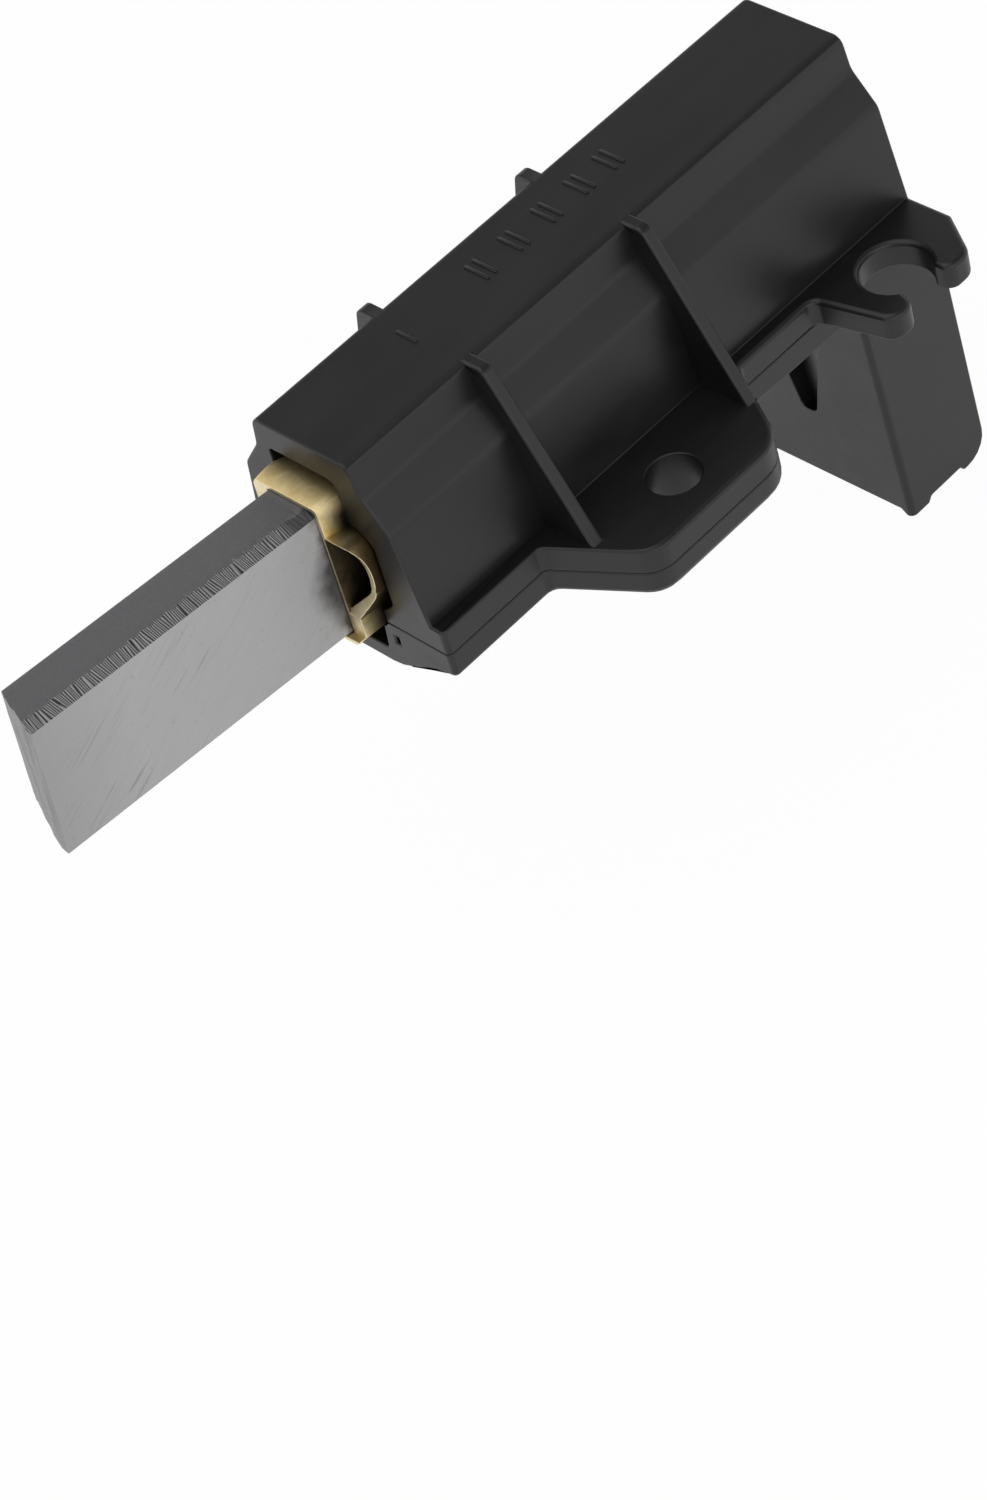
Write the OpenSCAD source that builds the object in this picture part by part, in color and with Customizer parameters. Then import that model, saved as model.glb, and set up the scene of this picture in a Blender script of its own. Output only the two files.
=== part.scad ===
// Carbon brush with its holder, for an electric motor.
//
// A moulded two-part holder carries a formed brass sleeve. The carbon block slides in the
// sleeve, pushed out by a coil spring, and a copper lead joins it to a blade terminal that
// hangs inside a hood under the rear of the holder.
//
// The part's origin is the screw hole's axis on the mounting face, under the wing.
// +X runs along the holder from the carbon's end to the rear, +Y away from the wing, +Z up.
// The sub-parts are drawn in the holder's own frame, which in_holder() puts in place:
// x from the front face, y from the centre line, z from the top of the flange.
// The sleeve and all that it guides are drawn in the sleeve's frame, which in_sleeve() tilts.

/* [Holder body] */
// Length of the moulded body along X
body_l = 55.7; // [50:0.1:64]
// Height of the body's roof above the flange
body_h = 14.6; // [13.8:0.1:18]
// Half width at the roof
roof_half = 5.2; // [5.1:0.05:6]
// Half width at the shoulder, where the side starts to flare
shoulder_half = 5.7; // [5.5:0.05:6.4]
// Height of the shoulder above the flange
shoulder_z = 11.6; // [10.6:0.1:12.4]
// Half width at the step, where the flare ends
step_half = 7.9; // [7.6:0.05:8.8]
// Height of the step above the flange
step_z = 8.7; // [8.2:0.1:9.6]
// Half width where the side meets the flange
foot_half = 9.3; // [8.8:0.05:9.8]
// Radius of the long edges of the roof
roof_r = 1.0; // [0.6:0.1:1.6]
// Thickness of the closed rear wall
rear_wall = 1.8; // [1.4:0.1:2.4]

/* [Flange] */
// Thickness of the flange's upper layer, which is part of the body
flange_t = 2.4; // [2:0.1:3]
// Thickness of the cover plate under it
cover_t = 2.4; // [2:0.1:3]
// Half width of the plain flange
flange_half = 10.6; // [10.4:0.1:12]
// Distance of the screw hole behind the front face
hole_x = 22; // [20:0.5:24]
// Distance of the screw hole from the centre line
hole_y = 14.2; // [13.8:0.1:15]
// Radius of the screw hole
hole_r = 2.25; // [1.8:0.05:2.6]
// Reach of the wing beyond the screw hole's axis
wing_reach = 4.5; // [4:0.1:6]
// Length of the wing's outer edge
wing_tip_l = 14.2; // [12:0.1:15]
// Length of the wing where it leaves the flange
wing_root_l = 23; // [21:0.1:26]
// Radius of the wing's outer corners
wing_r = 2.6; // [1.5:0.1:3]

/* [Gusset ribs] */
// Place of the first rib behind the front face
rib1_x = 12.8; // [11:0.1:14]
// Place of the second rib behind the front face
rib2_x = 30.5; // [29:0.1:31]
// Thickness of a rib
rib_t = 1.15; // [0.8:0.05:1.6]
// Distance of a rib's top corner from the centre line
rib_top_half = 6.7; // [6.3:0.1:7.2]
// Radius of a rib's top corner
rib_r = 0.9; // [0.5:0.1:1.2]
// Reach of the wing-side ribs at the flange, from the centre line
rib_reach = 14.3; // [13:0.1:15]

/* [Hook] */
// Distance of the notch's centre before the rear end
notch_back = 7.1; // [5.7:0.1:9.7]
// Distance of the notch's centre from the centre line
notch_y = 13.9; // [13.6:0.1:14.6]
// Radius of the notch
notch_r = 2.95; // [2.5:0.05:3.1]
// Width of the notch's mouth
notch_mouth = 3.9; // [3.4:0.1:4.6]
// Reach of the two arms from the centre line
hook_reach = 17.75; // [17:0.05:18.5]

/* [Hood] */
// Depth of the hood below the flange's underside
hood_depth = 24.6; // [20:0.1:30]
// Length of the hood's side walls at their top
hood_l = 10; // [9:0.1:11.5]
// Distance of the hood's front wall before the rear end
hood_back = 8.8; // [7.7:0.1:9.2]
// Backward lean of the hood over its depth
hood_lean = 1.4; // [0.6:0.1:2]
// Thickness of the hood's walls
hood_wall = 1.8; // [1.4:0.1:2.2]
// Thickness of the hood's front wall at its top
hood_front_t = 3.1; // [2.8:0.05:3.2]
// Radius of the hood's two upright corners
hood_r = 0.6; // [0.3:0.1:1]
// Half width of the blind pocket in the hood's front wall, at its top
pocket_half = 2.4; // [1.6:0.1:2.8]
// Sideways place of the pocket
pocket_y = -1.5; // [-2.5:0.1:2.5]
// Depth of the pocket at its far side; it runs out at its near side
pocket_depth = 1.75; // [1:0.05:1.9]
// Depth of the pocket's lower end below the flange's underside
pocket_low = 16.1; // [12:0.1:18]

/* [Trough] */
// Depth of the trough below the flange's underside, at the front
trough_front = 2.4; // [2:0.1:4]
// Depth of the trough below the flange's underside, at the rear
trough_rear = 4.2; // [4.1:0.1:6]
// Half width of the trough's flat bottom, at the front
trough_half_front = 3; // [2.8:0.1:4]
// Half width of the trough's flat bottom, at the rear
trough_half_rear = 4.6; // [4.4:0.1:5]
// Half width of the trough at the flange's underside
trough_root = 9.5; // [7:0.1:10]

/* [Sleeve] */
// Downward tilt of the sleeve towards the rear, in degrees
sleeve_tilt = 5; // [3.5:0.25:5.5]
// Height of the sleeve's axis above the flange, at the front face
sleeve_z = 3.7; // [3.4:0.1:4]
// Sideways place of the sleeve's axis
sleeve_y = 0.25; // [0.1:0.05:0.35]
// Thickness of the brass sheet
sheet_t = 0.4; // [0.3:0.05:0.5]
// Thickness of the inner leaf beside the lead's channel
leaf_t = 0.25; // [0.2:0.05:0.3]
// Thickness of the folded edges at the mouth
hem_t = 1.4; // [0.8:0.1:1.4]
// Extra thickness of the folded edge on the far side
hem_more = 0.2; // [0:0.05:0.3]
// Length of the folded edges
hem_l = 9; // [5:0.5:12]
// Distance that the sleeve's floor stands out beyond its sides
lip_out = 0.7; // [0.3:0.1:1]
// Distance that the sleeve stands out of the front face
mouth_out = 2.1; // [1.5:0.1:3]
// Distance from the sleeve's end to the body's rear end
sleeve_back = 9.7; // [9.2:0.1:11.7]
// Depth of the lead's channel beside the carbon
channel_d = 2.4; // [2:0.05:2.45]
// Clearance between the sleeve and the ribs that hold it
seat_gap = 0.1; // [0.05:0.05:0.25]

/* [Carbon and spring] */
// Width of the carbon block
carbon_w = 5; // [4.6:0.1:5.1]
// Height of the carbon block
carbon_h = 12.5; // [12:0.1:12.7]
// Length of the carbon block
carbon_l = 36; // [34:0.5:38]
// Distance from the front face to the carbon's tip
carbon_out = 30.7; // [28:0.1:32]
// Clearance between the carbon and the sleeve on each side
slide_gap = 0.06; // [0.05:0.01:0.1]
// Outside diameter of the spring
spring_d = 4.4; // [4:0.1:4.5]
// Diameter of the spring wire
wire_d = 0.6; // [0.4:0.05:0.7]
// Number of turns of the spring
spring_turns = 14; // [10:1:18]
// Diameter of the copper lead
lead_d = 1.6; // [1.2:0.1:1.8]

/* [Terminal] */
// Width of the blade
blade_w = 6.3; // [4.8:0.1:6.3]
// Thickness of the blade
blade_t = 0.8; // [0.5:0.1:0.8]
// Length of the blade below the flange's underside
blade_l = 11; // [9:0.5:14]

/* [Hidden] */

underside = flange_t + cover_t;
notch_x = body_l - notch_back;
hood_x = body_l - hood_back;
sleeve_l = body_l - sleeve_back;
black = "#26272a";
dark_grey = "#303134";
brass = "#a8965a";
graphite = "#6d6e70";
steel = "#b9bcc0";
copper = "#b06a45";

// Inner walls of the body
cavity_roof = body_h - 2.6;
cavity_near = 2.95;
cavity_far = 4.1;
cavity_flare_z = 7.6;
cavity_flare_drop = 0.95;
cavity_wide = 5.25;
cavity_waist_z = 0.1;
cavity_waist_drop = 1.6;
cavity_floor = -(underside + 0.9);
cavity_low = 3.4;
cavity_low_near = 2.9;
chamber_start = sleeve_l + 1.6;
chamber_half = 5;
chamber_floor = -flange_t - 0.8;
chamber_top = 6.2;

trough_steps = 6;
pocket_top = 4.4;
foot_h = 0.55;
foot_y = flange_half - 0.7;

// Sleeve section
inner_half_w = carbon_w / 2 + slide_gap;
inner_half_h = carbon_h / 2 + slide_gap;
outer_half_w = inner_half_w + sheet_t;
outer_half_h = inner_half_h + sheet_t;
channel_top = 4;
channel_bottom = -4.3;
channel_t = 0.5;
channel_cut_r = 6.6;
channel_back = 0.75;
seat_tab_t = 0.6;
seat_tab_low = -0.6;
sleeve_start = -6;

// Spring and lead
carbon_rear = carbon_l - carbon_out;
spring_z = 2.4;
spring_r = (spring_d - wire_d) / 2;
spring_end = sleeve_l - seat_tab_t;
joint_z = -3.4;
joint_r = 1.5;
joint_depth = 5;

// Terminal
blade_x = body_l - 4.1;
blade_top = 1.2;
blade_fit = 0.05;
blade_taper = 1;
latch_r = 0.8;
latch_up = 3.6;

// Blocks that cut are this much larger than what they cut
beyond = 1;

// Unit vector along a 2-D vector
function unit(v) = v / norm(v);

// Points of the arc that rounds the corner p1 between p0 and p2
function corner(p0, p1, p2, r, n = 5) =
    let (u = unit(p0 - p1), v = unit(p2 - p1), half = acos(u * v) / 2,
         c = p1 + unit(u + v) * r / sin(half),
         a = p1 + u * r / tan(half) - c, b = p1 + v * r / tan(half) - c,
         from = atan2(a.y, a.x), turn = atan2(b.y, b.x) - from,
         sweep = turn > 180 ? turn - 360 : turn < -180 ? turn + 360 : turn)
    [for (i = [0:n]) c + r * [cos(from + sweep * i / n), sin(from + sweep * i / n)]];

// Outline whose corner i is rounded with radius radii[i], or left sharp where that is 0
function rounded(pts, radii, n = 5) =
    let (k = len(pts))
    [for (i = [0:k - 1])
        each radii[i] == 0 ? [pts[i]] : corner(pts[(i + k - 1) % k], pts[i], pts[(i + 1) % k], radii[i], n)];

// Outline moved inwards by d, for points that run anticlockwise
function inset(pts, d) =
    let (k = len(pts))
    [for (i = [0:k - 1])
        let (u = unit(pts[i] - pts[(i + k - 1) % k]), v = unit(pts[(i + 1) % k] - pts[i]),
             nu = [-u.y, u.x], nv = [-v.y, v.x], m = unit(nu + nv))
        pts[i] + m * d / (m * nu)];

// Half outline on the +y side and its mirror image, as one closed outline
function both_sides(half_pts) =
    concat(half_pts, [for (i = [len(half_pts) - 1:-1:0]) [-half_pts[i].x, half_pts[i].y]]);

// Frames
module in_holder() {
    translate([-hole_x, hole_y, underside]) children();
}

module in_sleeve() {
    in_holder() translate([0, sleeve_y, sleeve_z]) rotate([0, sleeve_tilt, 0]) children();
}

// Extrudes a y-z section along x, from x0 to x1
module along_x(x0, x1) {
    translate([x0, 0, 0]) rotate([90, 0, 90]) linear_extrude(x1 - x0) children();
}

// Extrudes an x-z outline along y, from y0 to y1
module along_y(y0, y1) {
    translate([0, y1, 0]) rotate([90, 0, 0]) linear_extrude(y1 - y0) children();
}

// Section of the body's outside
module body_section() {
    half_pts = [[foot_half, -flange_t], [foot_half, 0], [step_half, step_z],
                [shoulder_half, shoulder_z], [roof_half, body_h]];
    pts = both_sides(half_pts);
    polygon(rounded(pts, [0, 0, 1.4, 1.8, roof_r, roof_r, 1.8, 1.4, 0, 0]));
}

// Section of the hollow that runs through the body and the cover
module cavity_section() {
    pts = [[cavity_far, cavity_roof], [-cavity_near, cavity_roof],
           [-cavity_near, cavity_flare_z], [-cavity_wide, cavity_flare_z - cavity_flare_drop],
           [-cavity_wide, cavity_waist_z], [-cavity_low, cavity_waist_z - cavity_waist_drop],
           [-cavity_low_near, cavity_floor], [cavity_low, cavity_floor],
           [cavity_low, cavity_waist_z - cavity_waist_drop], [cavity_wide, cavity_waist_z],
           [cavity_wide, cavity_flare_z - cavity_flare_drop], [cavity_far, cavity_flare_z]];
    polygon(rounded(pts, [0.3, 0.8, 0.5, 0.9, 1.2, 0.6, 0.3, 0.3, 0.6, 1.2, 0.9, 0.5], 3));
}

// Outline of the channel in the sleeve's near wall, anticlockwise
function channel_outline() =
    [[-inner_half_w, channel_top], [-outer_half_w - channel_d + 0.06, channel_top - 0.4],
     [-outer_half_w - channel_d, channel_bottom + 2.4], [-inner_half_w, channel_bottom - 2]];

// Section inside the sleeve's outer surface, grown by gap, with or without the folded edges
module sleeve_outside(gap, hemmed) {
    w = outer_half_w + gap;
    h = outer_half_h + gap;
    hem = inner_half_w + hem_t + gap;
    box = [[w, -h], [w, h], [-w, h], [-w, -h]];
    polygon(rounded(box, [0.7, 0.7, 0.9, 0.7], 4));
    polygon(rounded(inset(channel_outline(), -gap), [0, 1.9, 1.3, 0], 6));
    if (hemmed) {
        far = hem + hem_more;
        folds = [[far, -h], [far, h], [0, h], [0, channel_bottom + 0.4],
                 [-hem, channel_bottom + 0.4], [-hem, -h]];
        polygon(rounded(folds, [0.8, 0.8, 0, 0, 0.3, 0.8], 4));
    }
}

// Section of the space for the carbon
module sleeve_hollow() {
    pts = [[inner_half_w, -inner_half_h], [inner_half_w, inner_half_h],
           [-inner_half_w, inner_half_h], [-inner_half_w, -inner_half_h]];
    polygon(rounded(pts, [0.1, 0.1, 0.3, 0.1], 3));
}

// Section of the channel beside it, behind the inner leaf
module channel_hollow() {
    outer = channel_outline();
    inner = inset([[-outer_half_w + 1, outer[0].y], outer[1], outer[2],
                   [-outer_half_w + 1, outer[3].y + 1]], channel_t);
    difference() {
        polygon(rounded(inner, [0, 1.5, 0.9, 0], 6));
        translate([-inner_half_w - leaf_t, -outer_half_h]) square([2 * outer_half_w, 2 * outer_half_h]);
    }
}

// Space that the sleeve takes in the holder, with clearance
module sleeve_space() {
    translate([0, sleeve_y, sleeve_z]) rotate([0, sleeve_tilt, 0]) {
        along_x(-4, sleeve_l + 1) sleeve_outside(seat_gap, false);
        along_x(-4, hem_l + 0.5) sleeve_outside(seat_gap, true);
    }
}

// Space in the body and the cover for the sleeve, the spring seat and the lead
module cavity() {
    difference() {
        union() {
            along_x(-1, chamber_start) cavity_section();
            sleeve_space();
            along_x(chamber_start - 1, body_l - rear_wall) chamber_section();
        }
        seat_ribs();
    }
}

// Section of the rear chamber, where the lead meets the terminal
module chamber_section() {
    translate([-chamber_half, chamber_floor]) square([2 * chamber_half, chamber_top - chamber_floor]);
}

// Crush ribs on the roof and the floor, which end just clear of the sleeve
module seat_ribs() {
    rib_w = 0.9;
    difference() {
        for (y = [-1.6, 1.6]) {
            translate([3, sleeve_y + y - rib_w / 2, cavity_floor - 1])
                cube([chamber_start - 6, rib_w, cavity_roof - cavity_floor + 2]);
        }
        sleeve_space();
    }
}

// Plan of the flange, with the wing
function flange_pts() =
    let (tip = hole_y + wing_reach, root0 = hole_x - wing_root_l / 2 + 0.1,
         tip0 = hole_x - wing_tip_l / 2 + 0.1)
    [[0, -flange_half], [root0, -flange_half], [tip0, -tip], [tip0 + wing_tip_l, -tip],
     [root0 + wing_root_l, -flange_half], [body_l, -flange_half],
     [body_l, flange_half], [0, flange_half]];

module flange_plan() {
    polygon(rounded(flange_pts(), [0.5, 0.8, wing_r, wing_r + 1, 0.8, 0, 0.5, 0.5]));
}

// Plan of the hook at the rear of the wing side
module hook_plan() {
    arm = (hook_reach - flange_half);
    inner_x = notch_x - notch_r - 3.3;
    outline = [[inner_x - 1.5, -foot_half], [inner_x - 1.5, -flange_half],
               [inner_x, -flange_half], [inner_x + 1.5, -hook_reach],
               [notch_x - notch_mouth / 2, -hook_reach], [notch_x - notch_mouth / 2, -notch_y],
               [notch_x + notch_mouth / 2, -notch_y], [notch_x + notch_mouth / 2, -hook_reach],
               [body_l - 2.6, -hook_reach], [body_l, -hook_reach + 0.57 * arm], [body_l, -foot_half]];
    difference() {
        polygon(rounded(outline, [0, 0, 0.9, 1.4, 1.3, 0, 0, 1, 1.6, 0.4, 0], 6));
        translate([notch_x, -notch_y]) circle(r = notch_r, $fn = 48);
    }
}

// Triangular gusset from the body's side down to the flange, on the +y side
module gusset(x, foot) {
    translate([x, 0, 0]) rotate([90, 0, 90]) linear_extrude(rib_t)
        polygon(rounded([[roof_half - 1, body_h], [rib_top_half, body_h], [foot, 0],
                         [foot, -0.2], [foot_half - 1.2, -0.2]], [0, rib_r, 0, 0, 0]));
}

module upper_housing() {
    color(black) in_holder() {
        difference() {
            union() {
                along_x(0, body_l) body_section();
                translate([0, 0, -flange_t]) linear_extrude(flange_t) flange_plan();
                translate([0, 0, -flange_t]) linear_extrude(flange_t) hook_plan();
                for (x = [rib1_x, rib2_x]) {
                    mirror([0, 1, 0]) gusset(x, rib_reach);
                    gusset(x, flange_half - 0.2);
                }
            }
            cavity();
            translate([hole_x, -hole_y, -flange_t - 1]) cylinder(h = flange_t + 2, r = hole_r, $fn = 48);
            translate([0, 0, -flange_t]) for (p = peg_places()) {
                translate([p.x, p.y, -1]) cylinder(h = 1 + peg_h + 0.2, r = peg_r + peg_fit, $fn = 32);
            }
        }
    }
}

// Pegs of the cover, which sit in blind holes in the body's flange
peg_r = 0.9;
peg_h = 1.3;
peg_fit = 0.05;
function peg_places() =
    let (front = 4, rear = hood_x - 4.9, half = foot_half - 1.7)
    [[front, half], [front, -half], [rear, half], [rear, -half]];

// Side view of the hood
module hood_side() {
    top = -underside;
    low = -underside - hood_depth;
    polygon(rounded([[hood_x - beyond, top], [hood_x + hood_l, top],
                     [hood_x + hood_l + hood_lean - 0.2, low], [hood_x + hood_lean + 6.8, low],
                     [hood_x + hood_lean + 6.4, low + foot_h], [hood_x + hood_lean + 2.6, low + foot_h],
                     [hood_x + hood_lean + 2.2, low], [hood_x - beyond, low]],
                    [0, 0, 2.4, 0.3, 0.3, 0.3, 0.3, 0]));
}

// Extrudes a plan downwards along the hood's front face, which leans back
module along_hood() {
    translate([hood_x, 0, -underside]) rotate([0, -atan(hood_lean / hood_depth), 0])
        translate([0, 0, -hood_depth - 2 * beyond]) linear_extrude(hood_depth + 3 * beyond) children();
}

// Hood round the terminal: a front wall and two side walls
module hood() {
    plan = [[0, -flange_half], [2 * hood_l, -flange_half], [2 * hood_l, flange_half], [0, flange_half]];
    inner_half = flange_half - hood_wall;
    difference() {
        intersection() {
            along_hood() polygon(rounded(plan, [hood_r, 0, 0, hood_r]));
            along_y(-flange_half - beyond, flange_half + beyond) hood_side();
        }
        translate([hood_x + hood_front_t, -inner_half, -underside - hood_depth - beyond])
            cube([2 * hood_l, 2 * inner_half, hood_depth + beyond]);
        along_x(hood_x - beyond, hood_x + hood_front_t + beyond) translate([0, -underside - hood_depth])
            polygon(both_sides([[foot_y, -beyond], [foot_y, 0], [foot_y - foot_h, foot_h]]));
        hood_pocket();
    }
}

// Blind pocket in the hood's front wall: it tapers downwards and deepens towards the far side
module hood_pocket() {
    top = -underside - pocket_top;
    low = -underside - pocket_low;
    tip = [0.42 * pocket_half, -0.2 * pocket_half];
    slope = pocket_depth / (2 * pocket_half);
    near = pocket_y - pocket_half;
    far = pocket_y + pocket_half + beyond;
    intersection() {
        along_x(hood_x - 2 * beyond, hood_x + hood_front_t) translate([pocket_y, 0])
            polygon(rounded([[pocket_half, top], [-pocket_half, top], [-pocket_half, low + 7],
                             [tip[1], low], [tip[0], low], [pocket_half, low + 7]],
                            [0.6, 0.6, 4, 0.7, 0.7, 4], 4));
        along_hood() polygon([[-beyond, near - beyond / slope], [slope * (far - near), far], [-beyond, far]]);
    }
}

// Section of the trough under the sleeve: its sides fall in a soft S from the root to the bottom
function trough_section(x, half, depth) =
    let (n = trough_steps,
         side = [for (i = [0:n]) [trough_root + (half - trough_root) * i / n,
                                  -depth * (1 - cos(180 * i / n)) / 2]])
    concat([for (i = [0:n]) [x, -side[i].x, side[i].y - underside]],
           [for (i = [n:-1:0]) [x, side[i].x, side[i].y - underside]]);

module trough() {
    k = 2 * trough_steps + 2;
    pts = concat(trough_section(0, trough_half_front, trough_front),
                 trough_section(hood_x + 0.6, trough_half_rear, trough_rear));
    sides = [for (i = [0:k - 1]) let (j = (i + 1) % k) each [[i, i + k, j + k], [i, j + k, j]]];
    polyhedron(pts, concat(sides, [[for (i = [0:k - 1]) i], [for (i = [k - 1:-1:0]) i + k]]));
}

module lower_cover() {
    color(dark_grey) in_holder() {
        difference() {
            union() {
                translate([0, 0, -underside]) linear_extrude(cover_t) flange_plan();
                trough();
                hood();
                for (p = peg_places()) {
                    translate([p.x, p.y, -flange_t - 0.5]) cylinder(h = 0.5 + peg_h, r = peg_r, $fn = 32);
                }
            }
            cavity();
            translate([hole_x, -hole_y, -underside - 1]) cylinder(h = cover_t + 2, r = hole_r, $fn = 48);
            blade_hole();
            translate([-1, -4.65, -flange_t - 2.2]) cube([1.8, 0.5, 0.95]);
        }
    }
}

// Slot in the cover that the terminal stands in
module blade_hole() {
    translate([blade_x - blade_fit, -blade_w / 2 - blade_fit, -underside - 1])
        cube([blade_t + 2 * blade_fit, blade_w + 2 * blade_fit, cover_t + 2]);
}

// Brass sleeve: a strip folded round the carbon, with a channel beside it for the lead
module guide_sleeve() {
    color(brass) difference() {
        in_sleeve() difference() {
            union() {
                along_x(sleeve_start, sleeve_l) sleeve_outside(0, false);
                along_x(sleeve_start, hem_l) sleeve_outside(0, true);
            }
            along_x(sleeve_start - beyond, sleeve_l - seat_tab_t) sleeve_hollow();
            along_x(sleeve_start - beyond, sleeve_l + 1) channel_hollow();
            // Below the rear tab, which is folded across as the spring's seat, the end is open
            translate([sleeve_l - seat_tab_t - 1, -inner_half_w, -inner_half_h])
                cube([seat_tab_t + 2, 2 * inner_half_w, inner_half_h + seat_tab_low]);
        }
        // Mouth, cut parallel to the front face, with the floor's lip left standing
        mouth_cut(mouth_out + lip_out, -2 * inner_half_h);
        mouth_cut(mouth_out, sleeve_z - inner_half_h + 0.6 * sheet_t);
        // Edge of the channel, drawn back from the mouth
        leaf_y = sleeve_y - inner_half_w - leaf_t;
        in_holder() translate([-channel_back - channel_cut_r, leaf_y - 2 * channel_d, sleeve_z])
            rotate([-90, 0, 0]) cylinder(h = 2 * channel_d, r = channel_cut_r, $fn = 96);
    }
}

// Block in front of the mouth, from the given height up
module mouth_cut(out, from_z) {
    in_holder() translate([-body_h - out, -body_h, from_z]) cube([body_h, 2 * body_h, 2 * body_h]);
}

// Carbon block, drawn in the sleeve's frame with its tip at -carbon_out
module carbon_block() {
    w = carbon_w / 2;
    h = carbon_h / 2;
    tip = -carbon_out;
    rear = carbon_rear;
    color(graphite) in_sleeve() difference() {
        // Plan: the tip is worn to a slant with two shallow lengthwise ridges
        translate([0, 0, -h]) linear_extrude(carbon_h)
            polygon([[rear, -w], [rear, w], [tip + 1.5, w], [tip + 1.0, w - 1.3], [tip + 0.75, w - 1.9],
                     [tip + 0.55, w - 2.9], [tip + 0.2, w - 3.7], [tip, -w]]);
        // Rubbed near edge at the top
        translate([tip - 1, -w, h]) rotate([0, 90, 0]) linear_extrude(carbon_l + 2)
            polygon([[-1, -1], [0.45, -1], [0.45, 0], [0, 1.35], [-1, 1.35]]);
        // Broken corner at the bottom of the tip
        translate([tip + 1.5, w, -h]) rotate([0, 45, 0]) cube([2.2, 3, 2.2], center = true);
        // Pit for the lead's tamped joint
        translate([rear - joint_depth, 0, joint_z]) rotate([0, 90, 0])
            cylinder(h = joint_depth + 1, r = joint_r, $fn = 32);
    }
}

module tamped_joint() {
    color(copper) in_sleeve() translate([carbon_rear - joint_depth, 0, joint_z]) rotate([0, 90, 0])
        cylinder(h = joint_depth - 0.1, r = joint_r - 0.02, $fn = 32);
}

// Tube of radius r swept along a path of 3-D points that never runs along the vector across
module swept_tube(path, r, sides, across) {
    k = len(path);
    function dir(i) = unit(path[min(i + 1, k - 1)] - path[max(i - 1, 0)]);
    function side_of(d) = unit(cross(d, across));
    pts = [for (i = [0:k - 1]) let (d = dir(i), u = side_of(d), v = cross(d, u))
              for (s = [0:sides - 1]) path[i] + r * (cos(360 * s / sides) * u + sin(360 * s / sides) * v)];
    walls = [for (i = [0:k - 2]) for (s = [0:sides - 1])
                let (a = i * sides + s, b = i * sides + (s + 1) % sides)
                each [[a, b, b + sides], [a, b + sides, a + sides]]];
    first = [[for (s = [sides - 1:-1:0]) s]];
    last = [[for (s = [0:sides - 1]) (k - 1) * sides + s]];
    polyhedron(pts, concat(walls, first, last));
}

// Coil spring from the carbon's rear face to the sleeve's rear tab
function spring_path() =
    let (steps = 14, start = carbon_rear + 0.6 * wire_d, end = spring_end - 0.6 * wire_d,
         n = spring_turns * steps, dead = 1.2, close = 1.3 * wire_d)
    [for (i = [0:n])
        let (t = i / steps, live = (t - dead) / (spring_turns - 2 * dead),
             f = t < dead ? 0 : t > spring_turns - dead ? 1 : live,
             x = start + close * min(t, dead) + (end - start - 2 * close * dead) * f
                 + close * max(0, t - spring_turns + dead))
        [x, spring_r * sin(360 * t), spring_z + spring_r * cos(360 * t)]];

module brush_spring() {
    color(steel) in_sleeve() swept_tube(spring_path(), wire_d / 2, 6, [1, 0, 0]);
}

// Bends of the copper lead: each one's share of the way from the carbon to the sleeve's end,
// then how far it is off the tamped joint's axis to the side and up, in lead diameters
lead_bends = [[0.07, 0, 0], [0.21, 0.5, 0.2], [0.36, -0.55, -0.25], [0.51, 0.55, 0.12],
              [0.66, -0.55, -0.25], [0.8, 0.45, 0], [0.93, 0, 0.12], [1.025, 0, 1.2]];
lead_points = [for (b = lead_bends)
    [carbon_rear + b[0] * (sleeve_l - carbon_rear), b[1] * lead_d, joint_z + b[2] * lead_d]];

// Points on a smooth curve through the given ones
function smooth(p, n) =
    [for (i = [0:len(p) - 2]) for (j = [0:n - 1])
        let (t = j / n, a = p[max(i - 1, 0)], b = p[i], c = p[i + 1], d = p[min(i + 2, len(p) - 1)])
        0.5 * (2 * b + (c - a) * t + (2 * a - 5 * b + 4 * c - d) * t * t + (3 * b - a - 3 * c + d) * t * t * t)];

module copper_lead() {
    start = [carbon_rear + blade_fit, 0, joint_z];
    stub = [0.7 * lead_d, 0, 0];
    // The lead ends just clear of the blade's front face, which is upright in the holder's frame
    end_z = -0.6 * lead_d;
    end = [(blade_x - 2 * blade_fit - end_z * sin(sleeve_tilt)) / cos(sleeve_tilt), -sleeve_y, end_z];
    path = concat([start], smooth(concat([start + stub], lead_points, [end - stub]), 4), [end]);
    color(copper) in_sleeve() swept_tube(path, lead_d / 2, 8, [0, 1, 0]);
}

// Blade terminal: a wide foot inside the body and the blade inside the hood
module blade_terminal() {
    low = -underside - blade_l;
    w = blade_w / 2;
    color(brass) in_holder() difference() {
        translate([blade_x, 0, 0]) rotate([90, 0, 90]) linear_extrude(blade_t)
            polygon([[w, blade_top + 1], [-w, blade_top + 1], [-w, low + blade_taper],
                     [-w + 0.9 * blade_taper, low], [w - 0.9 * blade_taper, low], [w, low + blade_taper]]);
        translate([blade_x - beyond, 0, low + latch_up]) rotate([0, 90, 0])
            cylinder(h = blade_t + 2 * beyond, r = latch_r, $fn = 24);
    }
}

upper_housing();
lower_cover();
guide_sleeve();
carbon_block();
tamped_joint();
brush_spring();
copper_lead();
blade_terminal();
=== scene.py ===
"""Looks of the carbon brush and its holder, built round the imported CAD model.

Everything is in metres in the part's frame. The helpers that draw in the holder's or the sleeve's
own frame take millimetres, with x from the holder's front face, as in the part's source.
"""

import math
import random

import bmesh
import bpy
from mathutils import Matrix, Vector, noise


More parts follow.
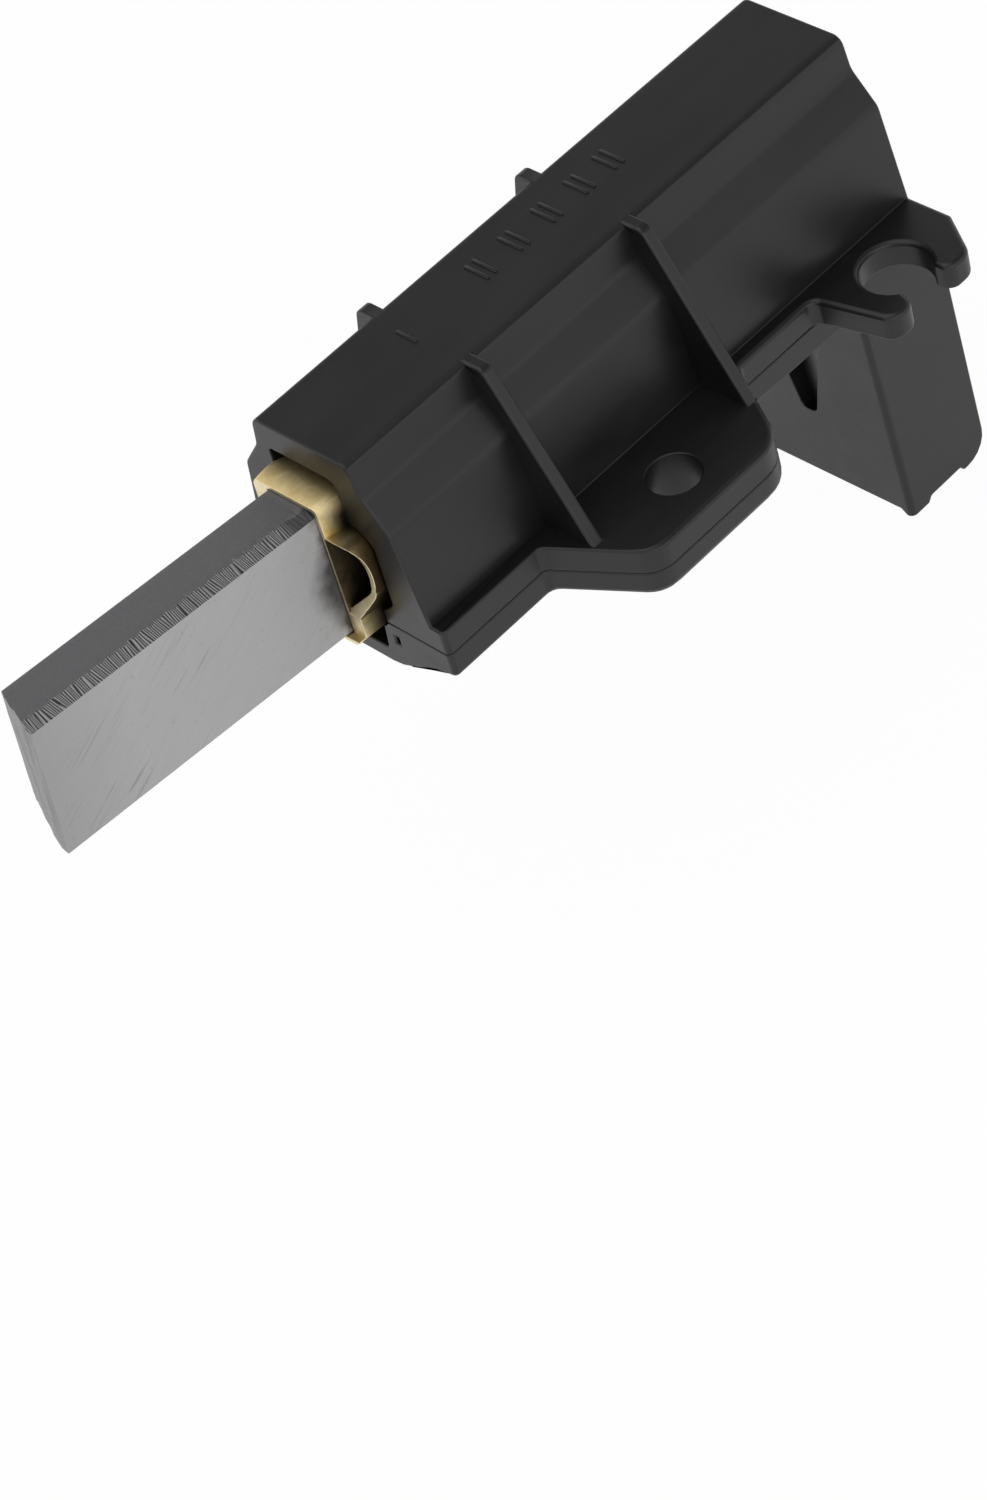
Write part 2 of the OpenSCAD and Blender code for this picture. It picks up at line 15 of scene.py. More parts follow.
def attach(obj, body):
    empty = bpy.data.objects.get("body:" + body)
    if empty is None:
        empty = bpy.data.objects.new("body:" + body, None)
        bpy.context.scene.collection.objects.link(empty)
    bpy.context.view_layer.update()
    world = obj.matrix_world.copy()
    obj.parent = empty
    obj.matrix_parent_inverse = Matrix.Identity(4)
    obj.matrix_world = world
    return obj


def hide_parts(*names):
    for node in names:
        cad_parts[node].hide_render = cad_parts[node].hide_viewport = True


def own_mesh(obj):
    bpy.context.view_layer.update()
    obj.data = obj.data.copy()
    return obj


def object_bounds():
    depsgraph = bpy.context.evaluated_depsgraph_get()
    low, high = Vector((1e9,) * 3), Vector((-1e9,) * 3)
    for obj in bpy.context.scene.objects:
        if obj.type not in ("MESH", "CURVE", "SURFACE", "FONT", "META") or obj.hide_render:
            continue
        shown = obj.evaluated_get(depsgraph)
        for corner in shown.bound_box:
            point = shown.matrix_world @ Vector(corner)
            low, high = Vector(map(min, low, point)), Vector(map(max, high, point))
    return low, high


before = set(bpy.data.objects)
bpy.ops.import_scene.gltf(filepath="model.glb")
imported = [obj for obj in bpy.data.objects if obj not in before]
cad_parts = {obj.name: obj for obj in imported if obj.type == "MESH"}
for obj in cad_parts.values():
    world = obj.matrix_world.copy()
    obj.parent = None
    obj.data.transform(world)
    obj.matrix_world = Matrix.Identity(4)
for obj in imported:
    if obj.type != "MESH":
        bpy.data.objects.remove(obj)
cad_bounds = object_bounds()
MM = 0.001

# Frames of the source, the holder's own and the tilted sleeve's: from their mm to metres
HOLDER_AT = Vector((-22.0, 14.2, 4.8))
SLEEVE_AT = Vector((0.0, 0.25, 3.7))
SLEEVE_TILT = math.radians(5.0)
HOLDER = Matrix.Scale(MM, 4) @ Matrix.Translation(HOLDER_AT)
SLEEVE = HOLDER @ Matrix.Translation(SLEEVE_AT) @ Matrix.Rotation(SLEEVE_TILT, 4, "Y")
TO_HOLDER = HOLDER.inverted()
TO_SLEEVE = SLEEVE.inverted()

# Sizes of the source that the added detail is fitted to, in mm: the mouldings
ROOF_Z = 14.6
FLANGE_T = 2.4
UNDERSIDE = -4.8
BODY_L = 55.7
BODY_HALF_W = 9.3
RIB_EDGES = (12.8, 13.95, 30.5, 31.65)
OUTER_FLANGE_Y = 10.3
SCREW_X, SCREW_Y, SCREW_RIM = 22.0, -14.2, 2.6

# Radii of the mouldings' edges, and how near an edge lies to the face that it is on
PLAIN_R = 0.2
PARTING_R = 0.17
NEAR = 0.05

# The sleeve's mouth; the upright rim leans in the sleeve's frame
MOUTH_OUT = 2.1
LEAF_RIM_X = -2.11
RIM_LEAN = 0.0875

# The carbon, and what is behind it
CARBON_HALF_W = 2.5
CARBON_HALF_H = 6.25
CARBON_TIP = -30.7
CARBON_REAR = 5.3
SPRING_START = 5.66
SPRING_END = 45.04
SPRING_TURNS = 14
SPRING_R = 1.9
SPRING_Z = 2.4
WIRE_R = 0.3
JOINT_Z = -3.4
LEAD_R = 0.8
STRANDS = 8
STRAND_R = 0.17


def limited(value):
    """A value held between 0 and 1."""
    return min(1.0, max(0.0, value))


# ---------------------------------------------------------------- materials

def new_material(name, base, roughness, metallic=0.0, specular=0.5):
    """A material with its plain values on the shader's own sockets."""
    material = bpy.data.materials.new(name)
    material.use_nodes = True
    shader = material.node_tree.nodes["Principled BSDF"]
    shader.inputs["Base Color"].default_value = (*base, 1.0)
    shader.inputs["Roughness"].default_value = roughness
    shader.inputs["Metallic"].default_value = metallic
    shader.inputs["Specular IOR Level"].default_value = specular
    return material, material.node_tree, shader


def add(tree, kind, inputs=None, **settings):
    """Adds a node; its inputs take a value or another node's output."""
    node = tree.nodes.new(kind)
    for key, value in settings.items():
        setattr(node, key, value)
    for key, value in (inputs or {}).items():
        if isinstance(value, bpy.types.NodeSocket):
            tree.links.new(value, node.inputs[key])
        else:
            node.inputs[key].default_value = value
    return node


def vector_maths(tree, operation, inputs):
    """The vector that an operation gives."""
    return add(tree, "ShaderNodeVectorMath", inputs, operation=operation).outputs[0]


def split(tree, vector):
    """The x, y and z of a vector."""
    return add(tree, "ShaderNodeSeparateXYZ", {0: vector}).outputs


def part_coords(tree, scale=(1, 1, 1), turn=(0, 0, 0), sleeve=False):
    """Place on the object in mm, turned and stretched; in the sleeve's frame where asked."""
    place = add(tree, "ShaderNodeTexCoord").outputs["Object"]
    if sleeve:
        place = vector_maths(tree, "SUBTRACT", {0: place, 1: (HOLDER_AT + SLEEVE_AT) * MM})
        place = add(tree, "ShaderNodeVectorRotate",
                    {"Vector": place, "Axis": (0, 1, 0), "Angle": -SLEEVE_TILT},
                    rotation_type="AXIS_ANGLE").outputs[0]
    place = vector_maths(tree, "SCALE", {0: place, "Scale": 1 / MM})
    if any(turn):
        place = add(tree, "ShaderNodeVectorRotate", {"Vector": place, "Rotation": turn},
                    rotation_type="EULER_XYZ").outputs[0]
    return vector_maths(tree, "MULTIPLY", {0: place, 1: scale})


def sleeve_coords(tree, scale=(1, 1, 1), slant=0.0):
    """Place in the sleeve's frame in mm, turned by slant degrees about y and stretched by scale."""
    return part_coords(tree, scale, (0.0, math.radians(slant), 0.0), sleeve=True)


def grain(tree, place, scale, detail=4.0, rough=0.55, distortion=0.0):
    """Noise from 0 to 1."""
    return add(tree, "ShaderNodeTexNoise",
               {"Vector": place, "Scale": scale, "Detail": detail, "Roughness": rough,
                "Distortion": distortion}).outputs["Fac"]


def spread(tree, value, low, high, to_low=0.0, to_high=1.0):
    """Maps the range low..high of a value to to_low..to_high, and clamps it."""
    return add(tree, "ShaderNodeMapRange",
               {"Value": value, "From Min": low, "From Max": high,
                "To Min": to_low, "To Max": to_high}).outputs[0]


def maths(tree, operation, a, b=0.0):
    """The number that an operation on a and b gives; each is a value or a node's output."""
    return add(tree, "ShaderNodeMath", {0: a, 1: b}, operation=operation).outputs[0]


def times(tree, a, b):
    return maths(tree, "MULTIPLY", a, b)


def plus(tree, a, b):
    return maths(tree, "ADD", a, b)


def blend_colour(tree, factor, a, b):
    """Colour a where the factor is 0, and b where it is 1."""
    node = add(tree, "ShaderNodeMix", {0: factor}, data_type="RGBA")
    for socket, colour in ((node.inputs[6], a), (node.inputs[7], b)):
        if isinstance(colour, bpy.types.NodeSocket):
            tree.links.new(colour, socket)
        else:
            socket.default_value = (*colour, 1.0)
    return node.outputs[2]


def scaled_colour(factor, colour):
    return tuple(factor * c for c in colour)


def bump(tree, shader, heights):
    """Stacks bumps, each a height from 0 to 1 and its depth in mm."""
    normal = None
    for height, depth in heights:
        inputs = {"Height": height, "Strength": 1.0, "Distance": depth * MM}
        if normal is not None:
            inputs["Normal"] = normal
        normal = add(tree, "ShaderNodeBump", inputs).outputs[0]
    tree.links.new(normal, shader.inputs["Normal"])


def moulded(name, base, worn, roughness):
    """Glass-filled moulded plastic: black with a satin skin, flow marks, scuffs and dust."""
    dust_colour, scuff_share, dust_share = (0.08, 0.08, 0.08), 0.3, 0.25
    material, tree, shader = new_material(name, base, roughness)
    place = part_coords(tree)
    flow = grain(tree, part_coords(tree, (0.35, 1, 1)), 0.3, 3.0)
    fine = grain(tree, place, 8.0, 3.0, 0.6)
    scuff = grain(tree, part_coords(tree, (0.3, 1.6, 1.6), (0.3, 0.2, 0.5)), 2.2, 6.0, 0.7)
    scuff = spread(tree, scuff, 0.62, 0.85)
    dust = spread(tree, grain(tree, place, 26.0, 2.0, 0.5), 0.74, 0.8)
    colour = blend_colour(tree, spread(tree, flow, 0.35, 0.7), base, worn)
    colour = blend_colour(tree, times(tree, scuff, scuff_share), colour, scaled_colour(3.0, worn))
    colour = blend_colour(tree, times(tree, dust, dust_share), colour, dust_colour)
    tree.links.new(colour, shader.inputs["Base Color"])
    rough = plus(tree, spread(tree, flow, 0.3, 0.7, roughness - 0.03, roughness + 0.03),
                 spread(tree, fine, 0.3, 0.7, -0.03, 0.03))
    tree.links.new(rough, shader.inputs["Roughness"])
    bump(tree, shader, [(flow, 0.03), (fine, 0.0025)])
    return material


def brass_sheet(name, base, dark, roughness, worn=False):
    """Rolled brass strip: streaks along the fold, tarnish, and fine scratches.

    The worn strip is dull on top, and painted shade darkens it where it enters the holder, less so
    on its top, and on its sides by the lead's channel."""
    material, tree, shader = new_material(name, base, roughness, metallic=1.0)
    streaks = grain(tree, sleeve_coords(tree, (0.5, 6, 0.6)), 2.0, 5.0, 0.6)
    along = grain(tree, sleeve_coords(tree, (7, 7, 0.35)), 1.6, 4.0, 0.65)
    cloud = grain(tree, sleeve_coords(tree), 0.5, 5.0, 0.6, 0.6)
    colour = blend_colour(tree, spread(tree, cloud, 0.42, 0.68), base, dark)
    colour = blend_colour(tree, spread(tree, streaks, 0.5, 0.75, 0.0, 0.3), colour,
                          scaled_colour(0.6, dark))
    rough = spread(tree, along, 0.3, 0.7, roughness - 0.05, roughness + 0.08)
    if worn:
        # Painted shade near the holder's front ring, where the strip enters it, weaker on top.
        entry_shade_colour = (0.06, 0.042, 0.022)
        channel_shade_colour, channel_shade_share = (0.16, 0.105, 0.045), 0.78
        x, _, z = split(tree, sleeve_coords(tree))
        top = spread(tree, z, 5.2, 6.3)
        depth = plus(tree, x, times(tree, z, RIM_LEAN))
        entry_shade = spread(tree, plus(tree, depth, times(tree, cloud, 0.5)), -1.75, -0.05)
        entry_shade = times(tree, entry_shade, spread(tree, top, 0.0, 1.0, 0.95, 0.4))
        colour = blend_colour(tree, entry_shade, colour, entry_shade_colour)
        # Painted shade on the strip's sides, by the lead's channel.
        channel = times(tree, spread(tree, z, 4.1, 3.5), spread(tree, z, -4.4, -3.8))
        colour = blend_colour(tree, times(tree, channel, channel_shade_share), colour, channel_shade_colour)
        rough = plus(tree, rough, spread(tree, top, 0.0, 1.0, 0.0, 0.22))
    tree.links.new(colour, shader.inputs["Base Color"])
    tree.links.new(rough, shader.inputs["Roughness"])
    bump(tree, shader, [(cloud, 0.035), (along, 0.006), (streaks, 0.006)])
    return material


def rubbed_faces_and_sheen(tree, place, x, rub):
    """Colour of the carbon's wide faces: a light grey that is painted sheen on the rubbed graphite,
    with faint slanted rubbing, scratches and a few pits.
    """
    # Light greys that paint the rubbed graphite's sheen into the colour.
    low, high = (0.425, 0.425, 0.43), (0.447, 0.447, 0.452)
    scratch_colour, pit_colour = (0.31, 0.31, 0.315), (0.22, 0.22, 0.22)
    pits = spread(tree, grain(tree, place, 2.6, 2.0, 0.5), 0.68, 0.74)
    colour = blend_colour(tree, spread(tree, rub, 0.3, 0.7), low, high)
    scratch = grain(tree, sleeve_coords(tree, (0.16, 1.0, 3.6), slant=34.0), 1.3, 2.0, 0.5)
    patch = times(tree, spread(tree, grain(tree, place, 0.16, 1.0, 0.5), 0.45, 0.6),
                  spread(tree, x, -12.0, -24.0, 0.7, 1.5))
    scratch = times(tree, spread(tree, scratch, 0.59, 0.7), patch)
    colour = blend_colour(tree, times(tree, scratch, 0.75), colour, scratch_colour)
    return blend_colour(tree, times(tree, pits, 0.4), colour, pit_colour)


def mouth_smoke_and_shadow(tree, place, x, z):
    """Share of smoke and of the sleeve's painted shadow in front of the inner leaf's rim, broadest
    below the middle.
    """
    broadest_z = -1.3
    leaf = plus(tree, times(tree, z, -RIM_LEAN), LEAF_RIM_X)
    reach = spread(tree, maths(tree, "ABSOLUTE", plus(tree, z, -broadest_z)), 0.8, 4.6, 3.0, 0.9)
    drift = spread(tree, grain(tree, place, 0.55, 3.0, 0.5), 0.3, 0.7, -0.4, 0.4)
    ahead = plus(tree, maths(tree, "SUBTRACT", leaf, x), drift)
    smoke = spread(tree, maths(tree, "DIVIDE", ahead, reach), 1.0, 0.12)
    smoke = maths(tree, "POWER", smoke, 1.35)
    return times(tree, smoke, spread(tree, z, 5.0, 2.6, 0.5, 0.95))


def scored_lines(tree, x, across):
    """Crisp fine lines across the rubbed edge, from 0 to 1, that lean a little either way."""
    pitch = 0.21
    along = sleeve_coords(tree, (1.0, 0.04, 0.04))
    lean = spread(tree, grain(tree, along, 0.45, 1.0, 0.5), 0.36, 0.64, -0.55, 0.95)
    uneven = spread(tree, grain(tree, along, 1.3, 1.0, 0.5), 0.25, 0.75, -0.8, 0.8)
    turns = plus(tree, times(tree, x, 1 / pitch), plus(tree, uneven, times(tree, across, lean)))
    wave = maths(tree, "SINE", times(tree, turns, 2 * math.pi))
    strength = spread(tree, grain(tree, along, 3.0, 1.0, 0.5), 0.35, 0.65, 0.45, 1.0)
    return spread(tree, times(tree, wave, strength), -0.5, 0.6)


def scored_edge(tree, place, x, y, z):
    """Share and colour of the rubbed top near edge, which starts unevenly on the top face."""
    starts_y, height = -1.15, 0.46
    dark, bright, at_mouth = (0.015, 0.015, 0.016), (0.33, 0.33, 0.335), (0.06, 0.06, 0.062)
    across = spread(tree, y, starts_y, -CARBON_HALF_W)
    ragged = spread(tree, grain(tree, place, 3.2, 3.0, 0.6), 0.3, 0.7, 0.02, 0.26)
    band = times(tree, maths(tree, "GREATER_THAN", across, ragged),
                 maths(tree, "GREATER_THAN", z, CARBON_HALF_H - height))
    colour = blend_colour(tree, scored_lines(tree, x, across), dark, bright)
    return band, blend_colour(tree, spread(tree, x, -5.4, -4.2), colour, at_mouth)


def carbon_material():
    """Pressed graphite: wide faces rubbed and painted bright as sheen, a scored edge, smoke and
    painted shadow at the mouth, a worn tip.
    """
    smoke_and_shadow_colour, polish_colour = (0.02, 0.02, 0.022), (0.3, 0.3, 0.305)
    plain_colours = (0.1, 0.101, 0.105), (0.13, 0.131, 0.135)
    tip_colours = (0.19, 0.19, 0.195), (0.34, 0.34, 0.345)
    material, tree, shader = new_material("carbon_faces", (0.3, 0.3, 0.3), 0.5)
    place = sleeve_coords(tree)
    x, y, z = split(tree, place)
    normal = add(tree, "ShaderNodeNewGeometry").outputs["True Normal"]
    across_tip, across_wide, _ = split(tree, vector_maths(tree, "ABSOLUTE", {0: normal}))
    wide = spread(tree, across_wide, 0.6, 0.8)
    worn = spread(tree, across_tip, 0.6, 0.8)
    rub = grain(tree, sleeve_coords(tree, (0.22, 1.0, 2.2), slant=36.0), 0.9, 4.0, 0.55)
    speck = grain(tree, place, 7.0, 4.0, 0.7)

    # Wide faces, with smoke and the sleeve's painted shadow at the mouth and a darker polish
    # towards the tip
    rubbed = rubbed_faces_and_sheen(tree, place, x, rub)
    rubbed = blend_colour(tree, mouth_smoke_and_shadow(tree, place, x, z), rubbed, smoke_and_shadow_colour)
    rubbed = blend_colour(tree, spread(tree, x, -22.0, -30.0, 0.0, 0.5), rubbed, polish_colour)

    # Narrow faces and the worn tip, whose lines run along the commutator's axis
    plain = blend_colour(tree, spread(tree, speck, 0.35, 0.7), *plain_colours)
    lines = grain(tree, sleeve_coords(tree, (1.0, 3.2, 0.12)), 1.6, 5.0, 0.65)
    tip = blend_colour(tree, spread(tree, lines, 0.35, 0.65), *tip_colours)
    # The wide faces take the light grey of painted sheen; the narrow ones keep their plain grey.
    colour = blend_colour(tree, wide, plain, rubbed)
    colour = blend_colour(tree, worn, colour, tip)

    band, scored = scored_edge(tree, place, x, y, z)
    colour = blend_colour(tree, band, colour, scored)
    tree.links.new(colour, shader.inputs["Base Color"])
    tree.links.new(spread(tree, rub, 0.3, 0.7, 0.42, 0.52), shader.inputs["Roughness"])
    bump(tree, shader, [(rub, 0.006), (speck, 0.012), (lines, 0.01)])
    return material


def wire_material(name, base, dark, roughness):
    """Drawn wire: metal with oxide patches and fine draw lines."""
    material, tree, shader = new_material(name, base, roughness, metallic=1.0)
    patch = grain(tree, part_coords(tree), 1.2, 5.0, 0.6)
    fine = grain(tree, part_coords(tree), 12.0, 3.0, 0.6)
    colour = blend_colour(tree, spread(tree, patch, 0.4, 0.7), base, dark)
    tree.links.new(colour, shader.inputs["Base Color"])
    rough = spread(tree, fine, 0.3, 0.7, roughness - 0.06, roughness + 0.1)
    tree.links.new(rough, shader.inputs["Roughness"])
    bump(tree, shader, [(fine, 0.004)])
    return material


BLACK = moulded("moulded_black_satin", (0.005, 0.005, 0.0055), (0.007, 0.007, 0.0075), 0.36)
GREY = moulded("moulded_cover_satin", (0.006, 0.006, 0.0065), (0.008, 0.008, 0.0086), 0.36)
BRASS = brass_sheet("sleeve_brass_rolled", (0.95, 0.8, 0.45), (0.8, 0.62, 0.29), 0.36, worn=True)
BRASS_CUT = brass_sheet("sleeve_brass_cut", (0.96, 0.85, 0.58), (0.84, 0.71, 0.44), 0.42)
# Dark brass for the faces inside the lead's channel: painted shade in the hollow.
BRASS_SHADED_INSIDE = brass_sheet("sleeve_brass_shaded_inside", (0.1, 0.075, 0.045), (0.05, 0.036, 0.02), 0.5)
BRASS_BLADE = brass_sheet("terminal_brass_stamped", (0.7, 0.58, 0.32), (0.56, 0.45, 0.24), 0.26)
CARBON = carbon_material()
COPPER = wire_material("copper_bare", (0.68, 0.34, 0.2), (0.38, 0.2, 0.13), 0.34)
COPPER_POWDER = wire_material("copper_tamped", (0.5, 0.26, 0.16), (0.24, 0.13, 0.09), 0.6)
STEEL = wire_material("spring_steel_drawn", (0.6, 0.6, 0.6), (0.4, 0.4, 0.41), 0.28)


# ------------------------------------------------------------ mesh helpers

def new_piece(name, mesh, body, materials, replaces=()):
    """A piece that rides on a body, takes a slot's finish and may stand for CAD nodes."""
    piece = bpy.data.objects.new(name, mesh)
    bpy.context.scene.collection.objects.link(piece)
    mesh.materials.clear()
    for material in materials:
        mesh.materials.append(material)
    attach(piece, body)
    if replaces:
        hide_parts(*replaces)
    return piece


def apply_modifiers(piece):
    """Puts the result of the piece's modifiers into its mesh."""
    depsgraph = bpy.context.evaluated_depsgraph_get()
    depsgraph.update()
    result = bpy.data.meshes.new_from_object(
        piece.evaluated_get(depsgraph), preserve_all_data_layers=True, depsgraph=depsgraph)
    piece.modifiers.clear()
    piece.data = result


def shade(mesh, angle):
    """Smooth shading, with edges over the angle kept sharp."""
    mesh.polygons.foreach_set("use_smooth", [True] * len(mesh.polygons))
    mesh.set_sharp_from_angle(angle=math.radians(angle))


def cut_across(shape, faces, way, places):
    """Cuts faces by planes across one axis of the holder's frame, at places in mm."""
    for place in places:
        whole = [f for f in faces if f.is_valid]
        parts = set(whole)
        for face in whole:
            parts.update(face.edges)
            parts.update(face.verts)
        result = bmesh.ops.bisect_plane(shape, geom=list(parts), dist=1e-7,
                                        plane_co=HOLDER @ (way * place), plane_no=way)
        faces = [g for g in result["geom"] if isinstance(g, bmesh.types.BMFace)]


def clean(shape):
    """Joins the CAD mesh's triangles into whole faces, and drops its slivers."""
    bmesh.ops.remove_doubles(shape, verts=shape.verts, dist=2e-6)
    bmesh.ops.dissolve_degenerate(shape, dist=6e-6, edges=shape.edges)
    bmesh.ops.dissolve_limit(shape, angle_limit=math.radians(0.6), verts=shape.verts,
                             edges=shape.edges)


def weigh_edges(shape, rounding, angle):
    """Gives each edge over the angle a bevel weight, which is its radius in mm."""
    smallest_face = 1e-9
    weights = shape.edges.layers.float.new("bevel_weight_edge")
    for edge in shape.edges:
        turn = edge.calc_face_angle_signed(0.0)
        sliver = min((f.calc_area() for f in edge.link_faces), default=0.0) < smallest_face
        if abs(turn) > math.radians(angle) and not sliver:
            a, b = (TO_HOLDER @ v.co for v in edge.verts)
            edge[weights] = rounding((a + b) / 2, turn > 0)


def softened(node, body, materials, rounding, segments=3, pick=None, dress=None):
    """A copy of a CAD node that stands for it, with its edges rounded as the real ones are.

    rounding gives an edge's radius in mm, from its middle in the holder's frame and whether it
    stands out. dress cuts or bends the mesh before that, and pick chooses each face's material."""
    angle = 26.0
    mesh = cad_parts[node].data.copy()
    if "custom_normal" in mesh.attributes:
        mesh.attributes.remove(mesh.attributes["custom_normal"])
    shape = bmesh.new()
    shape.from_mesh(mesh)
    clean(shape)
    if dress:
        dress(shape)
    weigh_edges(shape, rounding, angle)
    shape.to_mesh(mesh)
    shape.free()
    piece = new_piece(node + "_finish", mesh, body, materials, (node,))
    if pick:
        for face in mesh.polygons:
            face.material_index = pick(face)
    shade(mesh, angle)
    bevel = piece.modifiers.new("rounding", "BEVEL")
    bevel.width = MM
    bevel.segments = segments
    bevel.limit_method = "WEIGHT"
    bevel.use_clamp_overlap = False
    bevel.miter_outer = "MITER_ARC"
    piece.modifiers.new("weld", "WELD").merge_threshold = 1e-7
    weighted = piece.modifiers.new("weighted", "WEIGHTED_NORMAL")
    weighted.weight = 50
    weighted.keep_sharp = True
    apply_modifiers(piece)
    return piece


def skin(rings, sides):
    """Faces of a closed form whose verts are so many rings, one after the other."""
    faces = []
    for i in range(rings - 1):
        for k in range(sides):
            a, b = i * sides + k, i * sides + (k + 1) % sides
            faces.append((a, b, b + sides, a + sides))
    faces.append(tuple(range(sides - 1, -1, -1)))
    faces.append(tuple((rings - 1) * sides + k for k in range(sides)))
    return faces


def carried_frames(path):
    """Each point of a path with two ways across it that are carried along without a twist."""
    across = Vector((0.0, 1.0, 0.0))
    for i, point in enumerate(path):
        ahead = (path[min(i + 1, len(path) - 1)] - path[max(i - 1, 0)]).normalized()
        across = (across - ahead * across.dot(ahead)).normalized()
        yield point, across.copy(), ahead.cross(across)


def tube(path, radius, sides):
    """Verts and faces of a closed tube along a path of Vectors."""
    verts = []
    for point, side, up in carried_frames(path):
        for k in range(sides):
            turn = 2 * math.pi * k / sides
            verts.append(point + radius * (math.cos(turn) * side + math.sin(turn) * up))
    return verts, skin(len(path), sides)


def mesh_of(name, parts, matrix):
    """One mesh from (verts, faces) parts, moved from millimetres in their frame to the part's."""
    verts, faces = [], []
    for part_verts, part_faces in parts:
        start = len(verts)
        verts.extend(matrix @ v for v in part_verts)
        faces.extend(tuple(start + k for k in face) for face in part_faces)
    mesh = bpy.data.meshes.new(name)
    mesh.from_pydata(verts, [], faces)
    mesh.update()
    return mesh


def shorten(piece, front, held):
    """Gives a piece its own copy of its mesh; front and held, places in mm along the sleeve, are
    not used.
    """
    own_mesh(piece)


# ------------------------------------------------- mouldings and sheet brass

def body_loops(shape):
    """Loops beside the body's long corners, which carry the blend."""
    for way, places in ((Vector((0, 0, 1)),
                         (14.1, 13.75, 12.15, 11.9, 11.4, 11.15, 9.15, 8.9, 8.4, 8.15)),
                        (Vector((0, 1, 0)), (-4.7, -4.35, 4.35, 4.7))):
        live = [f for f in shape.faces
                if abs(f.normal.x) < 0.02 and (TO_HOLDER @ f.calc_center_median()).z > 0.3]
        cut_across(shape, live, way, places)


def body_normal(y, z):
    """Blended normal of the body's outside at a place of its section, or None away from it."""
    # Corners from the roof's middle to the flange, and how wide each one blends, in mm
    corners = [(0.0, ROOF_Z, 0.0), (5.2, ROOF_Z, 0.85), (5.7, 11.6, 0.55), (7.9, 8.7, 0.55),
               (BODY_HALF_W, 0.0, 0.0)]
    on_surface = 0.45
    best = None
    length = 0.0
    ends = []
    for (y0, z0, _), (y1, z1, width) in zip(corners, corners[1:]):
        run = Vector((y1 - y0, z1 - z0))
        share = limited(Vector((abs(y) - y0, z - z0)).dot(run) / run.length_squared)
        away = (Vector((y0, z0)) + share * run - Vector((abs(y), z))).length
        if best is None or away < best[0]:
            best = (away, length + share * run.length)
        length += run.length
        ends.append((length, width, Vector((-run.y, run.x)).normalized()))
    if best[0] > on_surface:
        return None
    place = best[1]
    for (end, width, before), (_, _, after) in zip(ends, ends[1:]):
        if abs(place - end) < width:
            t = (place - end + width) / (2 * width)
            t = t * t * (3 - 2 * t)
            mixed = before.lerp(after, t).normalized()
            return Vector((0.0, math.copysign(mixed.x, y), mixed.y))
    return None


def blend_body(piece):
    """Puts the blended normals on the body's outside, so that its long corners turn softly."""
    mesh = piece.data
    normals = [loop.vector.copy() for loop in mesh.corner_normals]
    for face in mesh.polygons:
        at = TO_HOLDER @ face.center
        if abs(face.normal.x) > 0.03 or at.z < 0.3 or face.normal.y * at.y < -0.001:
            continue
        for k in face.loop_indices:
            corner = TO_HOLDER @ mesh.vertices[mesh.loops[k].vertex_index].co
            blended = body_normal(corner.y, corner.z)
            if blended is not None and blended.dot(face.normal) > 0.6:
                normals[k] = blended
    mesh.normals_split_custom_set(normals)


def on_screw_hole(at):
    """Whether a place in the holder's frame is on the screw hole's rim."""
    return math.hypot(at.x - SCREW_X, at.y - SCREW_Y) < SCREW_RIM


def housing_edges(at, convex):
    """Radii of the housing's edges: generous on the flange and the hook, fine at the mouth."""
    on_flange = abs(at.z) < NEAR
    if not convex:
        at_foot = on_flange and abs(abs(at.y) - BODY_HALF_W) < NEAR and at.x > 12.0
        return 0.06 if at_foot else 0.0
    in_room = abs(at.y) < 5.1 and at.z < 12.3
    if in_room:
        return 0.12 if at.x < 0.2 else 0.0
    if on_screw_hole(at):
        return 0.1 if on_flange else 0.0
    if at.z < -FLANGE_T + NEAR:
        return PARTING_R
    if on_flange and at.y < -OUTER_FLANGE_Y:
        return 0.15 + 0.27 * limited((at.x - 13.4) / 2.6)
    if on_flange and at.y > OUTER_FLANGE_Y:
        return 0.3
    on_rib = at.z > 0.3 and min(abs(at.x - rib) for rib in RIB_EDGES) < NEAR
    if on_rib:
        return 0.26 if at.y < 0 else 0.12
    return PLAIN_R


def cover_edges(at, convex):
    """Radii of the cover's edges: wide under the wing, fine at the parting line and the pocket."""
    if not convex:
        return 0.0
    in_trough = abs(at.y) < 5.4 and at.z > -12 and at.x < BODY_L - 3
    if in_trough:
        return 0.15 if at.x < NEAR else 0.0
    if on_screw_hole(at):
        return 0.12 if at.z < UNDERSIDE + NEAR else 0.0
    if at.z > -FLANGE_T - NEAR:
        return PARTING_R
    if abs(at.z - UNDERSIDE) < NEAR:
        return 0.25 + 0.55 * limited((-at.y - 10.6) / 0.5)
    in_front_pocket = at.x < 49.9 and -4.5 < at.y < 1.5 and -21.5 < at.z < UNDERSIDE - 0.1
    return 0.08 if in_front_pocket else PLAIN_R


def even(radius):
    """The same radius on every edge that stands out."""
    return lambda at, convex: radius if convex else 0.0


def sleeve_faces(face):
    """Sheet edges at the mouth are freshly cut and bright; inside the lead's channel the faces take
    a dark brass, which is painted shade.
    """
    rolled, cut, dark = 0, 1, 2
    channel_y, channel_z = -3.9, -0.2
    at = TO_SLEEVE @ face.center
    facing = (TO_SLEEVE.to_3x3() @ face.normal).normalized()
    if abs(facing.x) > 0.75 and at.x < 0.5:
        return cut
    inward = (channel_y - at.y) * facing.y + (channel_z - at.z) * facing.z > 0.0
    # Faces inside the lead's channel take the brass with painted shade.
    if inward and abs(facing.x) < 0.5 and -5.1 < at.y < -2.8 and -4.4 < at.z < 3.7:
        return dark
    return rolled


